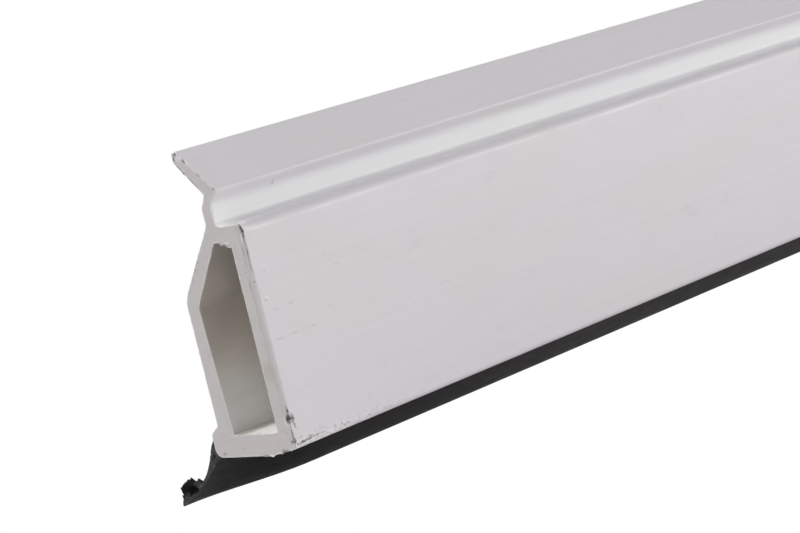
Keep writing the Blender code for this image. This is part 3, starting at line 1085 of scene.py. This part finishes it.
def sawn_black(colours, name):
    """The sawn and torn edge of the lip: greyer and rough, with pale threads, and painted brown-black
    shade in the middle of its wider parts and in the hollow of the torn lump."""
    finish = Finish(name, colours.cut_lip, 0.8, 0.2)
    torn = finish.grain(finish.place, 4.0, 0.7, 1.8)
    threads = finish.grain(finish.stretched(1, 1.2, 2.6), rough=0.7, scale=1.3)

    finish.shade = tinted(finish.base, 0.45, 0.45, 0.45)
    finish.paint(finish.ramp(torn, 0.38, 0.66), finish.base)
    finish.tint(finish.ramp(threads, 0.58, 0.68, 0.0, 0.8), 2.4, 2.4, 2.4)
    # Painted shade: the cut face is near black from 0.42 mm in from its edge and in the hollow of the
    # torn lump
    deep = finish.ramp(finish.attribute("rim"), 0.42, 0.75)
    lump = finish.blot(finish.stretched(0, 1, 1), (0, 9.7, -16.0), (1, 2.6, 1.7), 0.92)
    finish.paint(finish.most(deep, lump), (0.008, 0.006, 0.003))
    return finish.done(finish.ramp(torn, 0.3, 0.7, 0.65, 0.9), torn, 0.12 * MM)


# ---------------- operators


def skin(obj, *materials):
    """Gives the piece these materials, in the order of its faces' indices."""
    for material in materials:
        obj.data.materials.append(material)


def sweep_carrier(name, sizes, stations, spacing, cap_pitches, seed):
    """The extrusion's section carried along these stations."""
    loops = [carrier_outline(sizes, spacing), hollow_outline(sizes, spacing)]
    section = np.vstack(loops)
    sections = np.broadcast_to(section, (len(stations), *section.shape))
    counts = [len(loop) for loop in loops]
    return swept_solid(name, sections, counts, stations, cap_pitches, carrier_shape(sizes), seed)


class SWEEP_OT_cut_end(bpy.types.Operator):
    """The sawn end of the extrusion, with its chips, saw marks and grime"""

    bl_idname = "door_sweep.cut_end"
    bl_label = "Sawn End"

    def execute(self, context):
        sizes, colours = context.scene.sweep_carrier, context.scene.sweep_finish
        stations = graded(BAR_START, BAR_START + sizes.cut_end, 0.06 * MM, 1.09, 0.9 * MM)
        cap_pitches = (0.2 * MM, None)
        obj = sweep_carrier("carrier_cut_end", sizes, stations, 0.25 * MM, cap_pitches, seed=100)
        skin(
            obj,
            extruded_pvc(colours, "white_pvc_worn", FACE_GRIME),
            sawn_pvc(colours, "white_pvc_sawn_worn", SAWN_GRIME),
            hollow_pvc(colours, "white_pvc_inside_worn", CEILING_GRIME),
        )
        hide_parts("carrier")
        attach(obj, "bar")
        return {"FINISHED"}


class SWEEP_OT_carrier(bpy.types.Operator):
    """The rest of the white extrusion, as far as its other end"""

    bl_idname = "door_sweep.carrier"
    bl_label = "Extrusion"

    def execute(self, context):
        sizes, colours = context.scene.sweep_carrier, context.scene.sweep_finish
        seam, middle = BAR_START + sizes.cut_end, (BAR_START + BAR_END) / 2
        stations = np.concatenate([
            graded(seam, middle, 1.2 * MM, 1.12, 9 * MM),
            graded(BAR_END, middle, 0.06 * MM, 1.12, 9 * MM)[::-1][1:],
        ])
        cap_pitches = (None, 0.3 * MM)
        obj = sweep_carrier("carrier_bar", sizes, stations, 0.5 * MM, cap_pitches, seed=200)
        skin(
            obj,
            extruded_pvc(colours, "white_pvc"),
            sawn_pvc(colours, "white_pvc_sawn"),
            hollow_pvc(colours, "white_pvc_inside"),
        )
        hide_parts("carrier")
        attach(obj, "bar")
        return {"FINISHED"}


class SWEEP_OT_lip(bpy.types.Operator):
    """The black lip, bonded round the foot, its blade hanging from the hinge"""

    bl_idname = "door_sweep.lip"
    bl_label = "Sealing Lip"

    def execute(self, context):
        sizes, colours = context.scene.sweep_lip, context.scene.sweep_finish
        middle = (BAR_START + BAR_END) / 2
        stations = np.concatenate([
            graded(BAR_START, middle, 0.08 * MM, 1.08, 8 * MM),
            graded(BAR_END, middle, 0.12 * MM, 1.12, 8 * MM)[::-1][1:],
        ])
        sections = lip_sections(sizes, stations)
        counts, cap_pitches = [sections.shape[1]], (0.14 * MM, 0.2 * MM)
        obj = swept_solid(
            "sealing_lip", sections, counts, stations, cap_pitches, lip_shape, seed=300
        )
        skin(obj, soft_black(colours, "black_lip"), sawn_black(colours, "black_lip_sawn"))
        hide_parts("lip_root", "lip_blade")
        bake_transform(obj)
        return {"FINISHED"}


# What the lights face, how far off they stand and how wide they are, in metres
LIT_PLACE = Vector((-0.40, 0, 0))
LIGHT_DISTANCE = 1.7
SOFTBOX_WIDTH = 0.9

# The floor, and the share of its white that gloss sees
FLOOR_HALF_WIDTH = 6
FLOOR_GAP = 0.4 * MM
FLOOR_IN_GLOSS = 0.08


def soft_light(name, turn, rise, power):
    """A square softbox that faces the sawn end, turned this many degrees from -Y towards -X, and
    raised this many above level."""
    turn, rise = math.radians(turn), math.radians(rise)
    level = math.cos(rise)
    way = Vector((-math.sin(turn) * level, -math.cos(turn) * level, math.sin(rise)))
    lamp = bpy.data.lights.new(name, "AREA")
    lamp.shape = "SQUARE"
    lamp.size = SOFTBOX_WIDTH
    lamp.energy = power
    obj = placed(name, lamp)
    obj.location = LIT_PLACE + way * LIGHT_DISTANCE
    obj.rotation_euler = (-way).to_track_quat("-Z", "Y").to_euler()


def seen_white(tree, lit, glow, in_gloss=0.0):
    """Joins a plain white glow of this kind to what lights the scene: the camera sees the glow
    whole, and gloss sees this share of it."""
    rays = add_node(tree, "LightPath", {})
    inputs = {0: rays["Is Glossy Ray"], 1: in_gloss, 2: rays["Is Camera Ray"]}
    seen = add_node(tree, "Math", inputs, operation="MULTIPLY_ADD")[0]
    white = add_node(tree, glow, {"Color": (1, 1, 1, 1)})[0]
    return add_node(tree, "MixShader", {0: seen, 1: lit, 2: white})[0]


class SWEEP_OT_stage(bpy.types.Operator):
    """The plain pale floor, the soft studio light and the camera"""

    bl_idname = "door_sweep.stage"
    bl_label = "Stage"

    def execute(self, context):
        settings = context.scene.sweep_stage
        self.floor()
        self.surroundings(context.scene, settings)
        soft_light("front_softbox", -45, 5, settings.front_power)
        soft_light("back_softbox", 135, 30, settings.back_power)
        soft_light("top_softbox", 92, 60, settings.top_power)
        self.camera(context.scene, settings)
        return {"FINISHED"}

    def floor(self):
        far, low = FLOOR_HALF_WIDTH, CAD_LOW.z - FLOOR_GAP
        corners = [(-far, -far, low), (far, -far, low), (far, far, low), (-far, far, low)]
        mesh = bpy.data.meshes.new("floor")
        mesh.from_pydata(corners, [], [(0, 1, 2, 3)])
        obj = placed("floor", mesh)
        material = bpy.data.materials.new("pale_floor")
        material.use_nodes = True
        tree = material.node_tree
        shader = tree.nodes["Principled BSDF"]
        shader.inputs["Base Color"].default_value = (0.8, 0.8, 0.8, 1)
        shader.inputs["Roughness"].default_value = 0.9
        seen = seen_white(tree, shader.outputs[0], "Emission", FLOOR_IN_GLOSS)
        tree.links.new(seen, tree.nodes["Material Output"].inputs["Surface"])
        mesh.materials.append(material)

    def surroundings(self, scene, settings):
        world = bpy.data.worlds.new("white_surroundings")
        world.use_nodes = True
        tree = world.node_tree
        sky = tree.nodes["Background"]
        sky.inputs["Color"].default_value = (0.97, 0.98, 1.0, 1)
        sky.inputs["Strength"].default_value = settings.sky
        seen = seen_white(tree, sky.outputs[0], "Background")
        tree.links.new(seen, tree.nodes["World Output"].inputs["Surface"])
        scene.world = world
        scene.view_settings.view_transform = "Standard"

    def camera(self, scene, settings):
        camera = bpy.data.cameras.new("camera")
        camera.sensor_width = 36
        camera.lens = settings.lens
        camera.clip_start, camera.clip_end = 0.01, 50
        obj = placed("camera", camera)
        turn = (
            Matrix.Rotation(-settings.heading, 3, "Z")
            @ Matrix.Rotation(math.pi / 2 + settings.pitch, 3, "X")
            @ Matrix.Rotation(settings.roll, 3, "Z")
        )
        obj.rotation_euler = turn.to_euler()
        obj.location = settings.camera_place
        scene.camera = obj


class SWEEP_PT_panel(bpy.types.Panel):
    """Buttons for the pieces and the stage"""

    bl_idname = "SWEEP_PT_panel"
    bl_label = "Door Sweep"
    bl_space_type = "VIEW_3D"
    bl_region_type = "UI"
    bl_category = "Door Sweep"

    def draw(self, context):
        for operator in OPERATORS:
            self.layout.operator(operator.bl_idname)
        for name in SETTINGS:
            box = self.layout.box()
            box.label(text=name.replace("_", " ").title())
            for prop in getattr(context.scene, name).bl_rna.properties:
                if prop.identifier not in ("rna_type", "name"):
                    box.prop(getattr(context.scene, name), prop.identifier)


SETTINGS = {
    "sweep_carrier": SweepCarrier,
    "sweep_lip": SweepLip,
    "sweep_finish": SweepFinish,
    "sweep_stage": SweepStage,
}
OPERATORS = (SWEEP_OT_cut_end, SWEEP_OT_carrier, SWEEP_OT_lip, SWEEP_OT_stage)


def register():
    for group in (*SETTINGS.values(), *OPERATORS, SWEEP_PT_panel):
        bpy.utils.register_class(group)
    for name, group in SETTINGS.items():
        setattr(bpy.types.Scene, name, PointerProperty(type=group))


def unregister():
    for name in SETTINGS:
        delattr(bpy.types.Scene, name)
    for group in (SWEEP_PT_panel, *reversed(OPERATORS), *reversed(list(SETTINGS.values()))):
        bpy.utils.unregister_class(group)


def main():
    register()
    bpy.ops.door_sweep.cut_end()
    bpy.ops.door_sweep.carrier()
    bpy.ops.door_sweep.lip()
    bpy.ops.door_sweep.stage()


if __name__ == "__main__":
    main()
